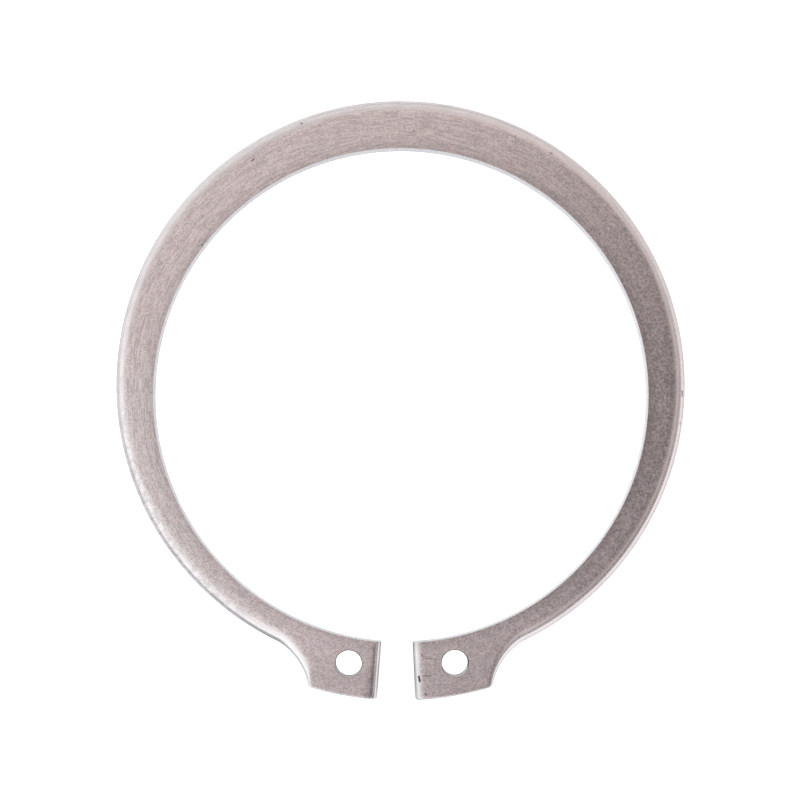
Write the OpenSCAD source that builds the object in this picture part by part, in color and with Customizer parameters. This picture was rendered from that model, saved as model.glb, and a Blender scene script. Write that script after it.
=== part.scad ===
// Open retaining ring for a groove on a shaft, lying flat with its rounded rim up.
// The ring axis is Z, the lower face is at Z = 0 and the gap points towards -Y.

/* [Ring body] */
// Inner diameter of the ring when it lies free
free_inner_d = 65.5; // [65.2:0.1:65.5]
// Thickness of the spring steel
thickness = 2.5; // [2.4:0.05:2.6]
// Radial width of the body opposite the gap
back_width = 6.5; // [6.3:0.1:6.5]
// Radial width that the body tapers to on the gap side
gap_side_width = 3.5; // [3.4:0.1:3.5]

/* [Lugs] */
// Radial height of each lug
lug_height = 7.6; // [7.6:0.2:8.2]
// Angle from the middle of the ring to the outer corner of each lug
lug_half_angle = 16.8; // [16.6:0.1:17]
// Radius of the hollow curve between each lug and the body
hollow_r = 8.6; // [8.2:0.1:9]
// Gap between the lugs at the inner edge
gap_width = 4.1; // [3.6:0.1:4.6]
// Angle by which the gap sits off the middle, towards -X
gap_offset_angle = 0.85; // [0:0.05:1]

/* [Plier holes] */
// Diameter of each plier hole
hole_d = 3.4; // [3:0.1:3.6]
// Distance from the inner edge to the centre of each hole
hole_inset = 3.4; // [3.2:0.05:3.8]
// Angle between the middle of the pair of holes and each hole
hole_angle = 11.15; // [10.8:0.05:11.5]
// Angle by which the pair of holes sits off the middle, towards +X
hole_offset_angle = 0.25; // [0:0.05:0.5]

/* [Punched edges] */
// Width of the rounded rim around the body and the hollows
rim_width = 1.6; // [1.4:0.1:1.8]
// Depth of the rounded rim
rim_depth = 0.9; // [0.8:0.1:1.1]
// Width of the rounded rim on the end faces
end_rim_width = 0.95; // [0.7:0.05:1]
// Depth of the rounded rim on the end faces
end_rim_depth = 0.7; // [0.5:0.05:0.9]
// Radius on the upper edge of the lug tips
tip_edge_r = 0.3; // [0.2:0.05:0.4]
// Depth of the small flat across each outer corner of the lugs
lug_corner_depth = 0.2; // [0.1:0.05:0.3]
// Small bevel on the mouths of the holes and on the lower edges
edge_bevel = 0.12; // [0.08:0.01:0.2]

/* [Hidden] */
$fn = 240;
cut = 1;
inner_r = free_inner_d / 2;
// The outer outline is a circle whose centre sits off the ring axis, so the body tapers.
outer_shift = (back_width - gap_side_width) / 2;
outer_r = inner_r + (back_width + gap_side_width) / 2;
lug_r = inner_r + lug_height + outer_shift;
hole_pitch_r = inner_r + hole_inset;
// Each hollow runs out on the outer circle and passes through the outer corner of its lug.
run_out = 0.03;
hollow_centre_r = outer_r + hollow_r - run_out;
hollow_angle = lug_half_angle
    + acos((lug_r ^ 2 + hollow_centre_r ^ 2 - hollow_r ^ 2) / (2 * lug_r * hollow_centre_r));
gap_half_angle = asin(gap_width / 2 / inner_r);
// Turn from the radial direction to the middle of the corner between lug tip and hollow.
hollow_corner_turn = 90
    - acos((lug_r ^ 2 + hollow_r ^ 2 - hollow_centre_r ^ 2) / (2 * lug_r * hollow_r)) / 2;
end_face_reach = lug_r - outer_shift * cos(gap_half_angle);
// Each end face is cut from its own side, well short of the other lug.
end_cut_width = gap_width * 0.7;
mid_angle = -90;

// What a rounded edge takes off a square corner at the origin, with the metal at -X and -Y.
module rounded_corner(w, d) {
    difference() {
        translate([-w, -d]) square([w + cut, d + cut]);
        translate([-w, -d]) scale([w / d, 1]) circle(r = d);
    }
}

// What a small 45 degree bevel takes off the same corner.
module bevelled_corner() {
    polygon([[-edge_bevel, 0], [0, -edge_bevel], [cut, -edge_bevel], [cut, cut], [-edge_bevel, cut]]);
}

// Half section of a plate with its axis at X = 0, rounded above and bevelled below.
module plate_section(r, rim_w, rim_d) {
    difference() {
        square([r, thickness]);
        translate([r, thickness]) rounded_corner(rim_w, rim_d);
        mirror([0, 1]) translate([r, 0]) bevelled_corner();
    }
}

// Half section of a round cutter whose mouths are bevelled on both faces.
module bevelled_cutter_section(r) {
    translate([0, -cut]) square([r, thickness + 2 * cut]);
    translate([r, thickness]) mirror([1, 0]) bevelled_corner();
    translate([r, 0]) rotate(180) bevelled_corner();
}

// The bore, crisp where it meets the upper face and bevelled below.
module bore_cutter() {
    rotate_extrude() {
        translate([0, -cut]) square([inner_r, thickness + 2 * cut]);
        translate([inner_r, 0]) rotate(180) bevelled_corner();
    }
}

// The body before the bore is cut, with its rounded rim all the way round.
module body_plate() {
    rotate_extrude() plate_section(outer_r, rim_width, rim_depth);
}

// The hollow between one lug and the body, with the rounded rim running on around it.
module hollow_cutter() {
    rotate_extrude() {
        translate([0, -cut]) square([hollow_r, thickness + 2 * cut]);
        translate([hollow_r, thickness]) mirror([1, 0]) rounded_corner(rim_width, rim_depth);
        translate([hollow_r, 0]) rotate(180) bevelled_corner();
    }
}

// Both lugs as one sector, which ends inside the body at the foot of each hollow.
module lug_sector() {
    difference() {
        rotate_extrude(start = mid_angle - hollow_angle, angle = 2 * hollow_angle)
            plate_section(lug_r, tip_edge_r, tip_edge_r);
        for (side = [-1, 1])
            rotate(mid_angle + side * hollow_angle) translate([hollow_centre_r, 0]) hollow_cutter();
    }
}

// Cuts one end face along X, with the metal on the +Y side and a rounded upper edge.
module end_cutter() {
    translate([inner_r - cut, 0]) rotate([90, 0, 90]) linear_extrude(lug_height + 3 * cut) {
        translate([-end_cut_width, -cut]) square([end_cut_width, thickness + 2 * cut]);
        translate([0, thickness]) mirror([1, 0]) rounded_corner(end_rim_width, end_rim_depth);
        rotate(180) bevelled_corner();
    }
}

module gap_cutter() {
    rotate(mid_angle - gap_offset_angle)
        for (side = [0, 1])
            mirror([0, side]) rotate(gap_half_angle) end_cutter();
}

// A flat cut whose outward direction is +X, with the sharp corner at the origin.
module corner_cutter() {
    translate([-lug_corner_depth, -cut, -cut]) cube([2 * cut, 2 * cut, thickness + 2 * cut]);
}

// The flats on the corners beside the hollows and on the corners of the end faces.
module lug_corner_cutters() {
    for (side = [-1, 1])
        translate([0, outer_shift]) rotate(mid_angle + side * lug_half_angle)
            translate([lug_r, 0]) rotate(side * hollow_corner_turn) corner_cutter();
    rotate(mid_angle - gap_offset_angle)
        for (side = [0, 1])
            mirror([0, side]) rotate(gap_half_angle) translate([end_face_reach, 0]) rotate(-45) corner_cutter();
}

module ring() {
    color("silver") difference() {
        translate([0, outer_shift]) {
            body_plate();
            lug_sector();
        }
        bore_cutter();
        gap_cutter();
        lug_corner_cutters();
        for (side = [-1, 1])
            rotate(mid_angle + hole_offset_angle + side * hole_angle) translate([hole_pitch_r, 0])
                rotate_extrude() bevelled_cutter_section(hole_d / 2);
    }
}

ring();
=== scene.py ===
import math

import bmesh
import bpy
from mathutils import Matrix, Vector
from mathutils.geometry import delaunay_2d_cdt


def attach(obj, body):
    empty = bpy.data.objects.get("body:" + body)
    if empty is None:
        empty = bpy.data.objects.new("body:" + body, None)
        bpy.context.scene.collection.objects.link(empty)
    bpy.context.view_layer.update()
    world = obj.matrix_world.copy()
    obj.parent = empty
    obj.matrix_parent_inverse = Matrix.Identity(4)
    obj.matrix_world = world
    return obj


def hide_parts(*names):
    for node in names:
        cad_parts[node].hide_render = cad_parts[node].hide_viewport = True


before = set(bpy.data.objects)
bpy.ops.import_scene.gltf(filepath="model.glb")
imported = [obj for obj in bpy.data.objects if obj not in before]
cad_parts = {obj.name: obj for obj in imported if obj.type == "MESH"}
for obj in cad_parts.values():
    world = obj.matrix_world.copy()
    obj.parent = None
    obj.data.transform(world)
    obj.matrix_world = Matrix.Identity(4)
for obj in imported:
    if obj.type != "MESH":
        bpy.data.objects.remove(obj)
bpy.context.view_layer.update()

# Sizes of the ring in millimetres and degrees, in the frame of the part.
MM = 0.001
inner_r = 32.75
thickness = 2.5
back_width = 6.5
gap_side_width = 3.5
lug_height = 7.6
lug_half_angle = 16.8
hollow_r = 8.6
run_out = 0.03
gap_width = 4.1
gap_offset_angle = 0.85
hole_r = 1.7
hole_inset = 3.4
hole_angle = 11.15
hole_offset_angle = 0.25
lower_bevel = 0.12
# Direction of the gap. A side is 1 for the right lug and -1 for the left one.
mid_angle = -90.0
ring_axis = (0.0, 0.0)

# Width and depth of the rounded upper edge on the body, the lug tips, the bore and each end face.
body_rim = (2.1, 0.9)
tip_rim = (0.3, 0.3)
bore_rim = (0.07, 0.07)
end_rims = {1: (1.4, 0.7), -1: (1.15, 0.7)}
# The same along each hollow, from the lug corner to the foot, where it runs on into the body's rim.
hollow_rims = {
    1: [(0.6, 0.45), (1.0, 0.6), (1.5, 0.75), body_rim],
    -1: [(0.5, 0.3), (1.7, 0.5), (1.9, 0.55), body_rim],
}
# How a rounded edge runs out on the upper face: 2 would be an ellipse, and more runs out more gently.
run_off = 2.5
# How far each corner of the lugs is eased, along both of its edges.
lug_corner = 0.45

# Steps along each part of the outline, up the rounded edge and around a plier hole.
bore_steps = 300
body_steps = 300
hollow_steps = 28
tip_steps = 16
end_steps = 10
corner_steps = 5
rim_steps = 18
hole_steps = 64
# Width of the flat strip that both faces have along their edges, where the shading of a rim ends.
strip = 0.03
# Points of an outline that lie nearer to each other than this are one point.
joined_within = 0.002
# An edge of the mesh that turns by more than this, in degrees, is crisp.
crisp_turn = 32


def polar(angle, r, about=ring_axis):
    """Point at an angle in degrees and a distance from a centre, in the plane of the ring."""
    a = math.radians(angle)
    return Vector((about[0] + r * math.cos(a), about[1] + r * math.sin(a)))


def angle_about(point, centre):
    return math.degrees(math.atan2(point.y - centre[1], point.x - centre[0]))


def corner_angle(near, far, opposite):
    """Angle in degrees between the sides near and far of a triangle, across from the third side."""
    return math.degrees(math.acos((near ** 2 + far ** 2 - opposite ** 2) / (2 * near * far)))


# The outer outline is a circle whose centre sits off the ring axis, so the body tapers.
outer_shift = (back_width - gap_side_width) / 2
outer_centre = (0.0, outer_shift)
outer_r = inner_r + (back_width + gap_side_width) / 2
lug_r = inner_r + lug_height + outer_shift
hole_pitch_r = inner_r + hole_inset
# Each hollow runs out on the outer circle and passes through the outer corner of its lug.
hollow_centre_r = outer_r + hollow_r - run_out
hollow_angle = lug_half_angle + corner_angle(lug_r, hollow_centre_r, hollow_r)
gap_half_angle = math.degrees(math.asin(gap_width / 2 / inner_r))


def chained(bm, points, z):
    """Edges from each point to the next, at one height."""
    verts = [bm.verts.new((*point, z)) for point in points]
    for a, b in zip(verts, verts[1:]):
        bm.edges.new((a, b))


def arc_run(bm, centre, radii, start, end, steps, z):
    """A chain of edges along an arc between two angles in degrees, through radii an even way apart."""
    points = []
    for k in range(steps + 1):
        along = k / steps * (len(radii) - 1)
        stage = min(int(along), len(radii) - 2)
        r = radii[stage] + (radii[stage + 1] - radii[stage]) * (along - stage)
        points.append(polar(start + (end - start) * k / steps, r, centre))
    chained(bm, points, z)
    return points[0], points[-1]


def eased_corner(bm, a, corner, b, z):
    """A short curve that rounds the corner between two chains."""
    steps = [k / corner_steps for k in range(corner_steps + 1)]
    chained(bm, [a * (1 - t) ** 2 + corner * 2 * t * (1 - t) + b * t ** 2 for t in steps], z)


def straight_run(bm, a, b, steps, z):
    """A straight chain of edges between two points."""
    edge = bm.edges.new((bm.verts.new((*a, z)), bm.verts.new((*b, z))))
    bmesh.ops.subdivide_edges(bm, edges=[edge], cuts=steps - 1)


def drawn_in(z, width, depth):
    """How far an edge with a rounded upper rim and a small lower bevel is drawn in at one height."""
    into = max(0.0, z - (thickness - depth)) / depth
    return max(0.0, lower_bevel - z) + width * (1 - max(0.0, 1 - into ** run_off) ** (1 / run_off))


def end_face_points(side, bore_r, tip_r, gap):
    """Where one end face, drawn in by gap, meets the bore and the lug tip of the given radii."""
    along_angle = mid_angle - gap_offset_angle + side * gap_half_angle
    along = polar(along_angle, 1.0)
    inward = Vector((-along.y, along.x)) * side * gap
    at_bore = inward + along * math.sqrt(bore_r ** 2 - gap ** 2)
    q = inward - Vector(outer_centre)
    reach = -along.dot(q) + math.sqrt(along.dot(q) ** 2 - q.length_squared + tip_r ** 2)
    return at_bore, inward + along * reach


def punched_outline(z, past):
    """The closed outline at one height, each edge drawn in by its own rim and then by a little more."""
    bm = bmesh.new()
    rim, tip, bore = [drawn_in(z, *edge) + past for edge in (body_rim, tip_rim, bore_rim)]
    body_r, tip_r, bore_r = outer_r - rim, lug_r - tip, inner_r + bore
    bore_ends, body_ends = {}, {}
    for side in (1, -1):
        at_bore, at_tip = end_face_points(side, bore_r, tip_r, drawn_in(z, *end_rims[side]) + past)
        centre_angle = mid_angle + side * hollow_angle
        centre = polar(centre_angle, hollow_centre_r, outer_centre)
        hollow_radii = [hollow_r + drawn_in(z, *edge) + past for edge in hollow_rims[side]]
        corner = centre_angle - side * corner_angle(tip_r, hollow_centre_r, hollow_radii[0])
        foot = centre_angle - side * corner_angle(body_r, hollow_centre_r, hollow_radii[-1])
        corner_seen = side * corner_angle(hollow_radii[0], hollow_centre_r, tip_r)
        foot_seen = side * corner_angle(hollow_radii[-1], hollow_centre_r, body_r)

        tip_ease = side * math.degrees(lug_corner / lug_r)
        tip_start = angle_about(at_tip, outer_centre) + tip_ease
        tip_end = corner - tip_ease
        near_end, near_corner = arc_run(bm, outer_centre, (tip_r, tip_r), tip_start, tip_end, tip_steps, z)
        hollow_start = centre_angle + 180 + corner_seen - side * math.degrees(lug_corner / hollow_r)
        hollow_end = centre_angle + 180 + foot_seen
        past_corner, _ = arc_run(bm, centre, hollow_radii, hollow_start, hollow_end, hollow_steps, z)
        eased_corner(bm, near_corner, polar(corner, tip_r, outer_centre), past_corner, z)
        end_low = at_tip + (at_bore - at_tip).normalized() * lug_corner
        eased_corner(bm, end_low, at_tip, near_end, z)
        straight_run(bm, at_bore, end_low, end_steps, z)
        bore_ends[side] = angle_about(at_bore, ring_axis)
        body_ends[side] = foot
    arc_run(bm, outer_centre, (body_r, body_r), body_ends[1], body_ends[-1] + 360, body_steps, z)
    arc_run(bm, ring_axis, (bore_r, bore_r), bore_ends[1], bore_ends[-1] + 360, bore_steps, z)
    bmesh.ops.remove_doubles(bm, verts=bm.verts, dist=joined_within)
    return bm


def outline_levels():
    """Heights of the outlines from the lower face up, and how much more than its rim each is drawn in."""
    quarter = [math.radians(90 * k / rim_steps) for k in range(rim_steps + 1)]
    roll = [(thickness - body_rim[1] * (1 - math.sin(turn)), 0.0) for turn in quarter]
    return [(0.0, strip), (0.0, 0.0), (lower_bevel, 0.0), *roll, (thickness, strip)]


def hole_centre(side):
    return polar(mid_angle + hole_offset_angle + side * hole_angle, hole_pitch_r)


def hole_circle(side, wider, z):
    """One circle of a plier hole, wider than the hole by a little at its mouths."""
    bm = bmesh.new()
    place = Matrix.Translation((*hole_centre(side), z))
    bmesh.ops.create_circle(bm, cap_ends=False, segments=hole_steps, radius=hole_r + wider, matrix=place)
    return bm


def hole_levels():
    """How much wider than the hole each of its circles is, and their heights, from the lower face up."""
    mouth = [(lower_bevel + strip, 0.0), (lower_bevel, 0.0), (0.0, lower_bevel)]
    return mouth + [(wider, thickness - z) for wider, z in reversed(mouth)]


def gathered(bm, loop):
    """Moves a loop into the ring's mesh and returns its edges."""
    mesh = bpy.data.meshes.new("loop")
    loop.to_mesh(mesh)
    loop.free()
    already = len(bm.edges)
    bm.from_mesh(mesh)
    bpy.data.meshes.remove(mesh)
    bm.edges.ensure_lookup_table()
    return bm.edges[already:]


def outline_walls(bm, outlines):
    """Walls between each outline and the next."""
    for low, high in zip(outlines, outlines[1:]):
        bmesh.ops.bridge_loops(bm, edges=low + high)


def hole_walls(bm, circles):
    """Walls between each circle and the next, edge by edge, since all circles start at the same side."""
    for low, high in zip(circles, circles[1:]):
        for a, b in zip(low, high):
            bm.faces.new((a.verts[0], a.verts[1], b.verts[1], b.verts[0]))


def capped(bm, outline, *holes):
    """Closes one flat face between its outline and the plier holes."""
    edges = [edge for loop in (outline, *holes) for edge in loop]
    verts = list({vert for edge in edges for vert in edge.verts})
    number = {vert: k for k, vert in enumerate(verts)}
    pairs = [[number[vert] for vert in edge.verts] for edge in edges]
    inside_only = 1
    tolerance = 0.00001
    filled = delaunay_2d_cdt([vert.co.xy for vert in verts], pairs, [], inside_only, tolerance)
    triangles, sources = filled[2], filled[3]
    round_holes = [{vert for edge in hole for vert in edge.verts} for hole in holes]
    for triangle in triangles:
        corners = [verts[sources[k][0]] for k in triangle]
        if not any(hole.issuperset(corners) for hole in round_holes):
            bm.faces.new(corners)


def stamped_ring():
    """The ring as one closed mesh in metres, with its rolled rim, crisp bore and plier holes."""
    bm = bmesh.new()
    outlines = [gathered(bm, punched_outline(*level)) for level in outline_levels()]
    holes = [[gathered(bm, hole_circle(side, *level)) for level in hole_levels()] for side in (1, -1)]
    outline_walls(bm, outlines)
    for circles in holes:
        hole_walls(bm, circles)
    face_edges = [[stack[level] for stack in (outlines, *holes)] for level in (0, -1)]
    for loops in face_edges:
        capped(bm, *loops)
    bmesh.ops.recalc_face_normals(bm, faces=bm.faces)
    for face in bm.faces:
        face.smooth = True
    flat_edges = {edge for loops in face_edges for loop in loops for edge in loop}
    for edge in bm.edges:
        edge.smooth = edge not in flat_edges and edge.calc_face_angle(0.0) < math.radians(crisp_turn)
    bmesh.ops.scale(bm, vec=(MM, MM, MM), verts=bm.verts)
    mesh = bpy.data.meshes.new("retaining_ring")
    bm.to_mesh(mesh)
    bm.free()
    piece = bpy.data.objects.new("retaining_ring", mesh)
    bpy.context.scene.collection.objects.link(piece)
    return piece


class Shade:
    """A socket of a shader tree that takes part in plain arithmetic."""

    def __init__(self, tree, socket=None):
        self.tree = tree
        self.socket = socket

    def node(self, kind, settings=(), output=0, **inputs):
        """Adds a node: its settings first, then its inputs by name, or by number as _0 for the first."""
        n = self.tree.nodes.new(kind)
        for name, value in dict(settings).items():
            if name == "stops":
                ramp = n.color_ramp.elements
                while len(ramp) < len(value):
                    ramp.new(1.0)
                for stop, (place, colour) in zip(ramp, value):
                    stop.position = place
                    stop.color = colour
            else:
                setattr(n, name, value)
        for name, value in inputs.items():
            key = int(name[1:]) if name[0] == "_" else name.replace("_", " ")
            if isinstance(value, Shade):
                self.tree.links.new(value.socket, n.inputs[key])
            else:
                n.inputs[key].default_value = value
        return Shade(self.tree, n.outputs[output])

    def math(self, operation, *values, clamp=False):
        keyed = {f"_{i}": v for i, v in enumerate(values)}
        return self.node("ShaderNodeMath", {"operation": operation, "use_clamp": clamp}, **keyed)

    def __add__(self, other):
        return self.math("ADD", self, other)

    def __radd__(self, other):
        return self.math("ADD", other, self)

    def __sub__(self, other):
        return self.math("SUBTRACT", self, other)

    def __rsub__(self, other):
        return self.math("SUBTRACT", other, self)

    def __mul__(self, other):
        return self.math("MULTIPLY", self, other)

    def __rmul__(self, other):
        return self.math("MULTIPLY", other, self)

    def __truediv__(self, other):
        return self.math("DIVIDE", self, other)

    def power(self, exponent):
        return self.math("POWER", self, exponent)

    def unsigned(self):
        return self.math("ABSOLUTE", self)

    def at_least(self, low):
        return self.math("MAXIMUM", self, low)

    def clamped(self):
        return self.math("ADD", self, 0.0, clamp=True)

    def between(self, low, high):
        """0 at low, 1 at high, straight in between and held outside."""
        return self.node("ShaderNodeMapRange", {"clamp": True}, Value=self, From_Min=low, From_Max=high)

    def blend(self, a, b):
        """One colour turning into another as this value goes from 0 to 1."""
        return self.node("ShaderNodeMix", {"data_type": "RGBA"}, output=2, _0=self, _6=a, _7=b)

    def axes(self):
        """The three parts of a vector."""
        return [self.node("ShaderNodeSeparateXYZ", output=axis, Vector=self) for axis in "XYZ"]

    def noise(self, scale, detail=2.0, roughness=0.5):
        """Soft noise over a vector, mostly between 0.3 and 0.7."""
        return self.node("ShaderNodeTexNoise", output="Fac", Vector=self, Scale=scale, Detail=detail,
                         Roughness=roughness)

    def reaches(self, kind):
        """Links a finished surface or background to the tree's output."""
        out = self.tree.nodes.new(kind)
        self.tree.links.new(self.socket, out.inputs["Surface"])


def bare_tree(owner):
    """The emptied shader tree of a material or a world."""
    owner.use_nodes = True
    owner.node_tree.nodes.clear()
    return Shade(owner.node_tree)


def millimetres(s):
    """Place on a surface in millimetres, in the frame of the part."""
    place = s.node("ShaderNodeTexCoord", output="Object")
    return s.node("ShaderNodeVectorMath", {"operation": "SCALE"}, _0=place, Scale=1 / MM)


def distance(x, y):
    """Length of a line that runs x one way and y across it."""
    return (x * x + y * y).power(0.5)


def around_holes(x, y, reach, fade):
    """1 up to reach from the middle of either plier hole, and 0 from fade further out."""
    centres = [hole_centre(side) for side in (1, -1)]
    return sum(1 - distance(x - c.x, y - c.y).between(reach, reach + fade) for c in centres)


# Marks on the upper face and rim in millimetres: from, to, half width, strength.
marks = [
    ((-19.77, 31.04), (-19.51, 31.31), 0.16, 0.8),
    ((-26.39, 23.81), (-26.31, 23.55), 0.13, 0.6),
    ((-31.80, 17.54), (-31.72, 17.28), 0.13, 0.6),
    ((-26.37, 19.94), (-26.32, 19.68), 0.13, 0.6),
    ((1.65, 35.06), (1.92, 35.02), 0.13, 0.6),
    ((19.95, 32.11), (20.15, 32.03), 0.15, 0.7),
    ((15.30, 34.52), (15.33, 32.78), 0.07, 0.5),
    ((-13.26, 36.05), (-13.08, 36.11), 0.15, 0.8),
    ((37.29, 0.40), (37.34, -0.26), 0.16, 0.9),
    ((37.00, -3.71), (37.02, -4.04), 0.12, 0.7),
    ((3.02, -34.79), (4.79, -34.85), 0.08, 0.6),
    ((2.87, -34.30), (2.89, -34.51), 0.16, 0.8),
    ((3.28, -39.40), (3.36, -39.58), 0.17, 0.8),
    ((2.40, -37.18), (2.52, -37.80), 0.19, 0.9),
    ((3.05, -37.10), (3.95, -37.05), 0.12, 0.5),
    ((8.03, -33.90), (8.60, -34.42), 0.14, 0.8),
    ((8.60, -34.42), (8.90, -35.13), 0.14, 0.8),
    ((8.90, -35.13), (8.89, -35.81), 0.13, 0.6),
]
# Share of a mark's half width over which it keeps its full strength.
mark_core = 0.3

# Noise of the steel: its scale to the millimetre, its detail and its roughness.
grain_noise = (3.4, 2.0, 0.6)
fine_noise = (7.0, 1.0)
hue_noise = (1.1, 1.0)
blotch_noise = (0.35, 2.0)
worn_noise = (1.4, 2.0)
glint_gap_noise = (1.5, 1.0)
torn_noise = (0.5, 2.0)
# Streaks, on the faces by their fineness across and along the ring, on the walls across and up.
streak_across = 7.5
streak_along = 16.0
wall_streak_across = 6.0
wall_streak_up = 0.6

# Colours of the steel.
dark_reddish = (0.615, 0.535, 0.53, 1.0)
dark_bluish = (0.585, 0.535, 0.55, 1.0)
light_in_front = (0.915, 0.82, 0.85, 1.0)
light_at_back = (0.915, 0.815, 0.80, 1.0)
light_at_left = (0.90, 0.84, 0.85, 1.0)
# Paler steel of the rolled rim: its real burnish together with a painted sheen.
bright_rim = (0.96, 0.93, 0.93, 1.0)
# Painted light on the bore's wall: paler than the steel and lightest at its foot, and a dark for its
# painted shade and its real streaks.
lit_wall_foot = (0.99, 0.955, 0.965, 1.0)
lit_wall_top = (0.80, 0.76, 0.775, 1.0)
wall_dark = (0.1, 0.1, 0.1, 1.0)
# Dark of the real marks, which the painted shade on the steel blends towards as well.
shade_and_mark_dark = (0.05, 0.04, 0.04, 1.0)


def scratch(x, y, start, end, half_width, strength):
    """A mark along a line on the face: its strength in the middle, nothing past its half width."""
    x0, y0 = start
    dx, dy = end[0] - x0, end[1] - y0
    along = (((x - x0) * dx + (y - y0) * dy) / (dx * dx + dy * dy)).clamped()
    off = distance(x - x0 - along * dx, y - y0 - along * dy)
    return (1 - off.between(half_width * mark_core, half_width)) * strength


def steel():
    """Tumbled spring steel: mottled grain, streaks round the ring, a rim with real burnish and painted
    sheen, painted light and shade on the bore's wall, painted shade along some edges, and small marks.
    """
    material = bpy.data.materials.new("tumbled_spring_steel")
    s = bare_tree(material)
    mm = millimetres(s)
    x, y, z = mm.axes()
    radius = distance(x, y)
    to_left = 0 - x
    to_gap = 0 - y

    # Parts of the ring
    on_top = z.between(thickness - 0.05, thickness - 0.01)
    beneath = 1 - z.between(0.01, 0.05)
    on_face = on_top + beneath
    bore_wall = (1 - radius.between(inner_r + 0.04, inner_r + 0.10)) * z.between(0.2, 0.5)
    rim_foot = thickness - body_rim[1]
    on_wall = (1 - z.between(rim_foot - 0.1, rim_foot + 0.1)) * (1 - beneath)
    left_hollow = to_left.between(8.0, 11.0) * to_gap.between(27.0, 32.0)
    lower_left = (1 - on_face) * to_left.between(5.0, 20.0) * to_gap.between(-5.0, 10.0)
    end_way = polar(mid_angle - gap_offset_angle - gap_half_angle, 1.0)
    from_end = x * end_way.y - y * end_way.x
    left_end = (1 - from_end.between(1.1, 1.9)) * to_left.between(1.0, 2.0) * to_gap.between(33.0, 38.0)
    right_end = x.between(1.0, 2.0) * (1 - x.between(4.0, 5.0)) * to_gap.between(31.0, 33.0)
    hole_mouths = around_holes(x, y, hole_r + lower_bevel, 0.05)

    # Grain, blotches and streaks
    grain = mm.noise(*grain_noise)
    fine = mm.noise(*fine_noise)
    blotch = mm.noise(*blotch_noise)
    hue = mm.noise(*hue_noise).between(0.4, 0.6)
    round_ring = s.node("ShaderNodeCombineXYZ", X=radius * streak_across, Y=x / radius * streak_along,
                        Z=y / radius * streak_along)
    streak = round_ring.noise(1.0, 3.0, 0.6)
    streaked = 0.45 + (y - x).between(-25.0, 25.0) * 0.75
    up_wall = s.node("ShaderNodeCombineXYZ", X=x * wall_streak_across, Y=y * wall_streak_across,
                     Z=z * wall_streak_up)
    wall_streak = up_wall.noise(1.0, 2.0)

    # Colour of the faces, the rolled rim with its real burnish and painted sheen, and the bore's wall with
    # painted light and shade
    tone = (grain - 0.5) * (2.6 - streaked) + (fine - 0.5) * 2.9 + (streak - 0.5) * 3.4 * streaked
    tone = (tone * (0.35 + on_face * 0.65) + (blotch - 0.5) * 0.3 + 0.5).clamped()
    light_grain = y.between(-30.0, 30.0).blend(light_in_front, light_at_back)
    paler_left = to_left.between(10.0, 30.0) * to_gap.between(-8.0, 0.0)
    light_grain = paler_left.blend(light_grain, light_at_left)
    face = tone.blend(hue.blend(dark_reddish, dark_bluish), light_grain)
    # The rim's real burnish with a painted sheen on top, paler still along the hollows and lugs.
    burnish_and_sheen = (1 - on_face) * (0.12 + to_gap.between(29.0, 33.0) * 0.48)
    rolled = burnish_and_sheen.blend(face, bright_rim)
    # Painted light and shade on the bore's wall: lighter at its foot, darker on the side away from the
    # gap, with real streaks.
    wall_shade_and_streaks = y.between(10.0, 30.0) * 0.13 + wall_streak.between(0.4, 0.7) * 0.14
    wall = wall_shade_and_streaks.blend(z.between(0.3, 2.2).blend(lit_wall_foot, lit_wall_top), wall_dark)

    # Painted shade and real marks
    # Painted shade: a dark band low on the outer rim, strongest towards the lower left and in the left
    # hollow, and dark gaps that break the lower left rim's bright band into glints.
    steep = 1 - z.between(thickness - 0.75, thickness - 0.45)
    hollow_steep = 1 - z.between(thickness - 0.42, thickness - 0.28)
    outer_edge_shade = steep * (to_left - y).between(5.0, 35.0) * 0.4 + hollow_steep * left_hollow * 0.6
    # Noise for the painted dark gaps between the glints on the lower left rim.
    glint_gaps = 1 - mm.noise(*glint_gap_noise).between(0.4, 0.55)
    edge_shade = outer_edge_shade * (1 - beneath) + glint_gaps * lower_left * (1 - left_hollow) * 0.18
    # Painted shade along the bore's edge, on the lug faces, at the plier holes' mouths and at the lug
    # ends.
    bore_shade = (1 - radius.between(inner_r + 0.1, inner_r + 1.6)) * 0.2
    lug_shade = to_gap.between(32.0, 37.0) * 0.13 + hole_mouths * 0.3
    end_shade = left_end * on_top * 0.3 + right_end * (1 - on_top) * 0.1
    marked = sum(scratch(x, y, *mark) for mark in marks).clamped()
    marked = marked * z.between(thickness - 0.5, thickness - 0.2)
    # All painted shade together with the real marks.
    shade_and_marks = (bore_shade + edge_shade) * (1 - bore_wall) + lug_shade + end_shade + marked * 0.85
    colour = shade_and_marks.clamped().blend(bore_wall.blend(rolled, wall), shade_and_mark_dark)

    # Roughness and unevenness
    torn = (mm.noise(*torn_noise) * 0.6 + 0.75 - z).between(-0.05, 0.1) * (1 - beneath)
    worn = mm.noise(*worn_noise) * (1 - on_face) * (1 - on_wall)
    roughness = 0.27 + (grain - 0.5) * 0.14 + (blotch - 0.5) * 0.03 - (1 - on_face) * 0.02 + torn * 0.2
    height = (grain * 0.5 + fine * 0.3 + streak * 0.3) * (0.3 + on_face * 0.7) + worn * 0.7
    height = height + on_wall * wall_streak * 0.8 - marked * 1.2
    bump = s.node("ShaderNodeBump", Strength=0.25, Distance=0.00003, Height=height)
    surface = s.node("ShaderNodeBsdfPrincipled", output="BSDF", Base_Color=colour, Metallic=1.0,
                     Roughness=(roughness + marked * 0.3).clamped(), Normal=bump)
    surface.reaches("ShaderNodeOutputMaterial")
    return material


ring = stamped_ring()
ring.data.materials.append(steel())
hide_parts("ring")
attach(ring, "root")

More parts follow.
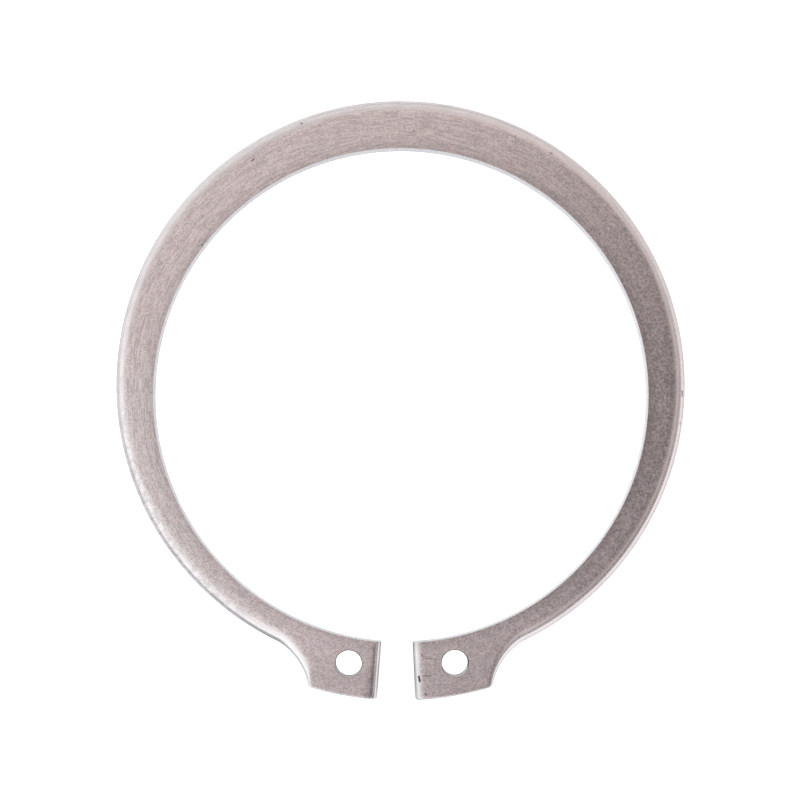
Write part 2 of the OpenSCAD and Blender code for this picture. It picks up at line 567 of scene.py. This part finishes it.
# The table under the ring, and the light tent around both.
floor_half_width = 1.5
table_grey = (0.85, 0.85, 0.85, 1.0)
white = (1.0, 1.0, 1.0, 1.0)
cool_glow = (0.94, 1.0, 1.08, 1.0)


def pale_floor():
    """A table that stays white to the camera and in reflections, keeps the ring's soft shadow, and has
    painted light glowing in the plier holes and the bore.
    """
    bm = bmesh.new()
    bmesh.ops.create_grid(bm, x_segments=1, y_segments=1, size=floor_half_width)
    mesh = bpy.data.meshes.new("floor")
    bm.to_mesh(mesh)
    bm.free()
    floor = bpy.data.objects.new("floor", mesh)
    bpy.context.scene.collection.objects.link(floor)
    material = bpy.data.materials.new("pale_table")
    s = bare_tree(material)
    x, y, _ = millimetres(s).axes()
    hole_glow = around_holes(x, y, hole_r, 0.3)
    bore_glow = 1 - distance(x, y).between(inner_r - 0.1, inner_r + 0.3)
    seen = s.node("ShaderNodeLightPath", output="Is Camera Ray")
    glossy = s.node("ShaderNodeLightPath", output="Is Glossy Ray")
    through = s.node("ShaderNodeLightPath", output="Is Transmission Ray")
    # Painted light: the floor glows more inside the plier holes and within the bore, which whitens the
    # ring's shadow there to the camera and in reflections.
    strength = 0.15 + (seen + through) * (hole_glow + 1) * 0.6 + hole_glow * 0.4 + bore_glow * 0.15
    paint = s.node("ShaderNodeBsdfDiffuse", output="BSDF", Color=table_grey)
    glow = s.node("ShaderNodeEmission", output="Emission", Color=hole_glow.blend(cool_glow, white),
                  Strength=strength)
    lit = s.node("ShaderNodeAddShader", _0=paint, _1=glow)
    mixed = s.node("ShaderNodeMixShader", _0=(seen + glossy + through).clamped(), _1=paint, _2=lit)
    mixed.reaches("ShaderNodeOutputMaterial")
    floor.data.materials.append(material)


# Bands of the tent's walls: height, even level, then what is added towards +X, +Y, X against Y, and
# the diagonals. Directions are of length 1 here, so the height is 0 at the table and 1 straight up.
bands = [
    (0.0, 1.23, -0.27, -0.14, 0.00, 0.01),
    (0.2, 0.91, -0.02, 0.08, -0.12, -0.18),
    (0.4, 0.74, 0.24, 0.10, 0.30, -0.22),
    (0.6, 1.19, -0.10, -0.27, -0.08, -0.06),
    (0.8, 0.70, -0.60, 0.14, 0.01, 0.32),
]
# The dark opening in the tent's roof: its middle, half its size, its turn in degrees and its soft edge.
opening_x, opening_y = 0.2582, 0.0072
opening_across, opening_along = 0.234, 0.331
opening_turn = -6.8
opening_edge = (0.76, 1.04)
# Tints of the walls by height, and of the roof.
wall_tints = [
    (0.1, (0.95, 0.97, 1.0, 1.0)),
    (0.45, (0.92, 0.97, 1.0, 1.0)),
    (0.78, (0.95, 0.985, 0.99, 1.0)),
]
right_wall_tint = (0.98, 0.975, 0.965, 1.0)
left_roof_tint = (1.05, 0.99, 0.97, 1.0)
middle_roof_tint = (1.12, 0.97, 0.97, 1.0)
right_roof_tint = (1.07, 0.99, 0.92, 1.0)
window_tint = (0.98, 0.99, 0.99, 1.0)


def band_levels(s, z, first, count):
    """Some columns of the bands as values that change with height, up to three from one ramp."""
    stops = []
    for height, *levels in bands:
        shares = [(level + 1) / 2 for level in levels[first:first + count]]
        stops.append((height, (*shares, *[0.5] * (3 - count), 1.0)))
    ramp = s.node("ShaderNodeValToRGB", {"stops": stops}, output="Color", Fac=z)
    parts = ("Red", "Green", "Blue")[:count]
    return [s.node("ShaderNodeSeparateColor", output=part, Color=ramp) * 2 - 1 for part in parts]


def tent_walls(s, ax, ay, z):
    """Light of the tent's walls, in bands that vary with the direction."""
    even, to_x, to_y = band_levels(s, z, 0, 3)
    crossed, diagonal = band_levels(s, z, 3, 2)
    return even + to_x * ax + to_y * ay + crossed * (ax * ax - ay * ay) + diagonal * ax * ay * 2


def tent_roof(x, y, window):
    """Light of the tent's roof, with a window, the dark opening and a glow at both sides."""
    turned = polar(opening_turn, 1.0)
    off_x = x - opening_x
    off_y = y - opening_y
    across = (off_x * turned.x + off_y * turned.y) / opening_across
    along = (off_y * turned.x - off_x * turned.y) / opening_along
    opening = 1 - distance(across, along).between(*opening_edge)
    right_glow = (x - y.unsigned() * 0.6).between(0.2, 0.5)
    left_glow = (0 - x).between(0.05, 0.17) * 0.03 + (0 - x).between(0.2, 0.7) * 0.15
    roof = 0.728 + x * 0.454 - opening * (0.815 - along.unsigned() * 0.2) + window * 0.49
    return roof + right_glow * 0.596 + left_glow


def light_tent():
    """A white tent: banded walls, a window to the front left and a dark opening to the right overhead."""
    world = bpy.data.worlds.new("light_tent")
    bpy.context.scene.world = world
    s = bare_tree(world)
    x, y, z = s.node("ShaderNodeTexCoord", output="Generated").axes()
    flat = (x * x + y * y + 0.000001).power(0.5)
    ax = x / flat
    overhead = z.between(0.80, 0.90)
    window = (0 - x - y).between(0.25, 0.5)
    level = tent_roof(x, y, window) * overhead + tent_walls(s, ax, y / flat, z) * (1 - overhead)
    seen = s.node("ShaderNodeLightPath", output="Is Camera Ray")
    level = level.at_least(0.0) * (1 - seen) + seen
    low = s.node("ShaderNodeValToRGB", {"stops": wall_tints}, output="Color", Fac=z)
    low = ax.between(-0.2, 0.5).blend(low, right_wall_tint)
    high = x.between(-0.15, 0.35).blend(left_roof_tint, middle_roof_tint)
    high = x.between(0.30, 0.50).blend(high, right_roof_tint)
    high = window.blend(high, window_tint)
    tint = seen.blend(overhead.blend(low, high), white)
    back = s.node("ShaderNodeBackground", output="Background", Color=tint, Strength=level)
    back.reaches("ShaderNodeOutputWorld")


def camera_overhead():
    """Above the ring and leaning a little to the gap's side, framed as in the photograph."""
    pixel = 0.1323 * MM
    photo_width_px = 800
    aim_x_px, aim_y_px = -0.6, -6.0
    sensor_width = 36.0
    height = 240 * MM
    lean = math.radians(2.5)
    data = bpy.data.cameras.new("camera")
    data.sensor_width = sensor_width
    data.lens = sensor_width * height / (photo_width_px * pixel)
    data.clip_start = 0.001
    camera = bpy.data.objects.new("camera", data)
    aim = Vector((aim_x_px * pixel, aim_y_px * pixel, thickness * MM))
    camera.location = aim + height * Vector((0, -math.sin(lean), math.cos(lean)))
    camera.rotation_euler = (lean, 0, 0)
    bpy.context.scene.collection.objects.link(camera)
    bpy.context.scene.camera = camera


pale_floor()
light_tent()
camera_overhead()
bpy.context.scene.view_settings.view_transform = "Standard"
